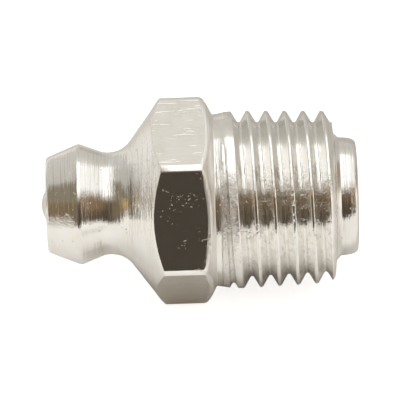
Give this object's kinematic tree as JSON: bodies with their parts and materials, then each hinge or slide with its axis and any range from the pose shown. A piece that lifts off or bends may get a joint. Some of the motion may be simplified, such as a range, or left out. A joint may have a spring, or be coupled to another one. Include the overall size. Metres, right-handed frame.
{
  "type": "grease nipple",
  "caption": "Straight grease nipple: cone head with a sprung check ball, hexagon with turned cones, short taper thread and rolled spigot.",
  "frame": {"origin": "on the axis, where the full thread diameter begins beside the hexagon", "axes": "+X along the axis from the head towards the end of the thread, +Z square to the hexagon's upper flat, so it lies on the opposite one"},
  "size_m": [0.0171, 0.0114, 0.01],
  "materials": {
    "nickel_plate": "nickel plate over turned and milled steel",
    "ball_steel": "polished",
    "spring_steel": "drawn wire"
  },
  "bodies": {
    "body": {"nipple_body": "nickel_plate", "valve_spring": "spring_steel"},
    "ball": {"check_ball": "ball_steel"}
  },
  "joints": [
    {"name": "ball_lift", "type": "slide", "parent": "body", "child": "ball", "axis": [1, 0, 0], "range_m": [0, 0.0095], "stiffness_N_per_m": 900, "springref_m": -0.0015, "deforming": ["valve_spring"]}
  ]
}
